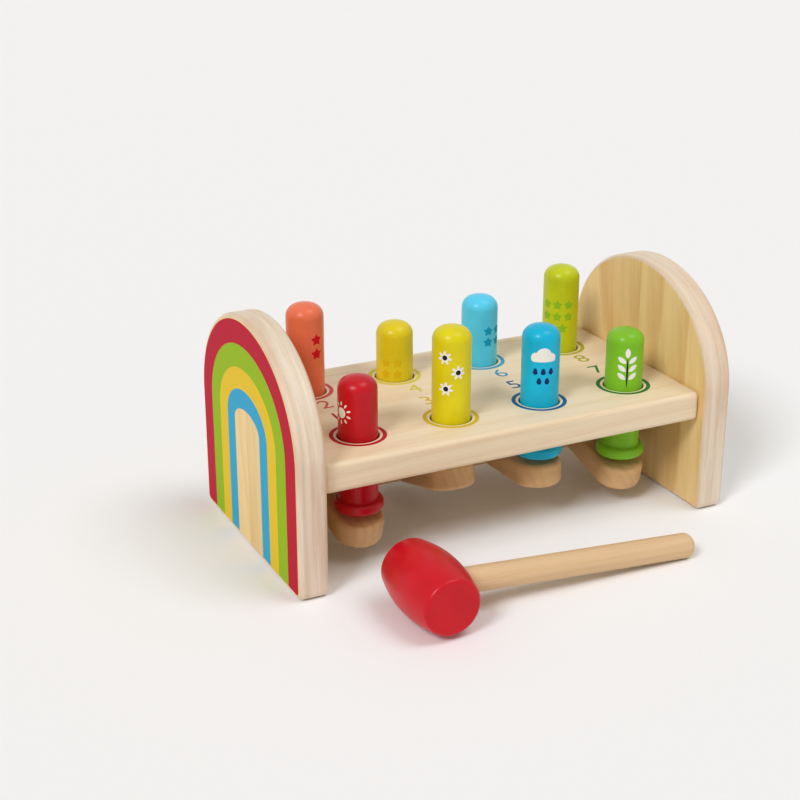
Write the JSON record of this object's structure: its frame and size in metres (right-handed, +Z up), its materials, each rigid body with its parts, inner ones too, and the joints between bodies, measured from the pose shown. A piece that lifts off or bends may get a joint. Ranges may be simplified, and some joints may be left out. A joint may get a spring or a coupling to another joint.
{
  "type": "pounding bench toy",
  "caption": "Wooden pounding bench with arched ends, painted pegs that seesaw in pairs on rockers under the plank, and a loose barrel-headed hammer.",
  "frame": {"origin": "on the floor, in the middle of the footprint of the bench and the hammer that lies in front of it", "axes": "+X along the bench to the player's right, +Y away from the player, +Z up"},
  "size_m": [0.2866, 0.226, 0.1442],
  "materials": {
    "pine_board": "clear satin lacquer on pale pine",
    "beech_bar": "fine sanded, clear lacquer",
    "dowel_wood": "plain turned wood",
    "steel_rod": "bright drawn rod",
    "hammer_paint_red": "satin paint on turned wood",
    "peg_paint_red": "satin paint on turned wood",
    "peg_paint_coral": "satin paint on turned wood",
    "peg_paint_yellow": "satin paint on turned wood",
    "peg_paint_amber": "satin paint on turned wood",
    "peg_paint_blue": "satin paint on turned wood",
    "peg_paint_sky": "satin paint on turned wood",
    "peg_paint_green": "satin paint on turned wood",
    "peg_paint_lime": "satin paint on turned wood"
  },
  "bodies": {
    "bench": {"left_end_panel": "pine_board", "right_end_panel": "pine_board", "bench_top": "pine_board", "plank_dowel_1": "dowel_wood", "plank_dowel_2": "dowel_wood", "plank_dowel_3": "dowel_wood", "plank_dowel_4": "dowel_wood", "rocker_axle": "steel_rod", "axle_spacer_1": "dowel_wood", "axle_spacer_2": "dowel_wood", "axle_spacer_3": "dowel_wood", "axle_spacer_4": "dowel_wood", "axle_spacer_5": "dowel_wood"},
    "rocker_1": {"rocker_1": "beech_bar"},
    "peg_1": {"peg_1": "peg_paint_red"},
    "peg_2": {"peg_2": "peg_paint_coral"},
    "rocker_2": {"rocker_2": "beech_bar"},
    "peg_3": {"peg_3": "peg_paint_yellow"},
    "peg_4": {"peg_4": "peg_paint_amber"},
    "rocker_3": {"rocker_3": "beech_bar"},
    "peg_5": {"peg_5": "peg_paint_blue"},
    "peg_6": {"peg_6": "peg_paint_sky"},
    "rocker_4": {"rocker_4": "beech_bar"},
    "peg_7": {"peg_7": "peg_paint_green"},
    "peg_8": {"peg_8": "peg_paint_lime"},
    "hammer": {"hammer_head": "hammer_paint_red", "hammer_handle": "dowel_wood"}
  },
  "joints": [
    {"name": "rocker_1_tilt", "type": "hinge", "parent": "bench", "child": "rocker_1", "pos_m": [-0.09, 0.037, 0.03085], "axis": [1, 0, 0], "range_deg": [-30.12, 0.77]},
    {"name": "peg_1_slide", "type": "slide", "parent": "bench", "child": "peg_1", "axis": [0, 0, 1], "range_m": [-0.00053, 0.02048]},
    {"name": "peg_2_slide", "type": "slide", "parent": "bench", "child": "peg_2", "axis": [0, 0, 1], "range_m": [-0.02048, 0.00053]},
    {"name": "rocker_2_tilt", "type": "hinge", "parent": "bench", "child": "rocker_2", "pos_m": [-0.03, 0.037, 0.03085], "axis": [1, 0, 0], "range_deg": [0, 30.89]},
    {"name": "peg_3_slide", "type": "slide", "parent": "bench", "child": "peg_3", "axis": [0, 0, 1], "range_m": [-0.02101, 0.00001]},
    {"name": "peg_4_slide", "type": "slide", "parent": "bench", "child": "peg_4", "axis": [0, 0, 1], "range_m": [-0.00001, 0.02101]},
    {"name": "rocker_3_tilt", "type": "hinge", "parent": "bench", "child": "rocker_3", "pos_m": [0.03, 0.037, 0.03085], "axis": [1, 0, 0], "range_deg": [-12.36, 18.54]},
    {"name": "peg_5_slide", "type": "slide", "parent": "bench", "child": "peg_5", "axis": [0, 0, 1], "range_m": [-0.01261, 0.00841]},
    {"name": "peg_6_slide", "type": "slide", "parent": "bench", "child": "peg_6", "axis": [0, 0, 1], "range_m": [-0.00841, 0.01261]},
    {"name": "rocker_4_tilt", "type": "hinge", "parent": "bench", "child": "rocker_4", "pos_m": [0.09, 0.037, 0.03085], "axis": [1, 0, 0], "range_deg": [-29.35, 1.54]},
    {"name": "peg_7_slide", "type": "slide", "parent": "bench", "child": "peg_7", "axis": [0, 0, 1], "range_m": [-0.00106, 0.01996]},
    {"name": "peg_8_slide", "type": "slide", "parent": "bench", "child": "peg_8", "axis": [0, 0, 1], "range_m": [-0.01996, 0.00106]},
    {"name": "hammer_lift", "type": "slide", "parent": "bench", "child": "hammer", "axis": [0, 0, 1], "range_m": [0, 0.15]}
  ],
  "couplings": [
    {"joint": "peg_1_slide", "follows": "rocker_1_tilt", "m_per_rad": -0.038948},
    {"joint": "peg_2_slide", "follows": "rocker_1_tilt", "m_per_rad": 0.038948},
    {"joint": "peg_3_slide", "follows": "rocker_2_tilt", "m_per_rad": -0.038948},
    {"joint": "peg_4_slide", "follows": "rocker_2_tilt", "m_per_rad": 0.038948},
    {"joint": "peg_5_slide", "follows": "rocker_3_tilt", "m_per_rad": -0.038948},
    {"joint": "peg_6_slide", "follows": "rocker_3_tilt", "m_per_rad": 0.038948},
    {"joint": "peg_7_slide", "follows": "rocker_4_tilt", "m_per_rad": -0.038948},
    {"joint": "peg_8_slide", "follows": "rocker_4_tilt", "m_per_rad": 0.038948}
  ]
}
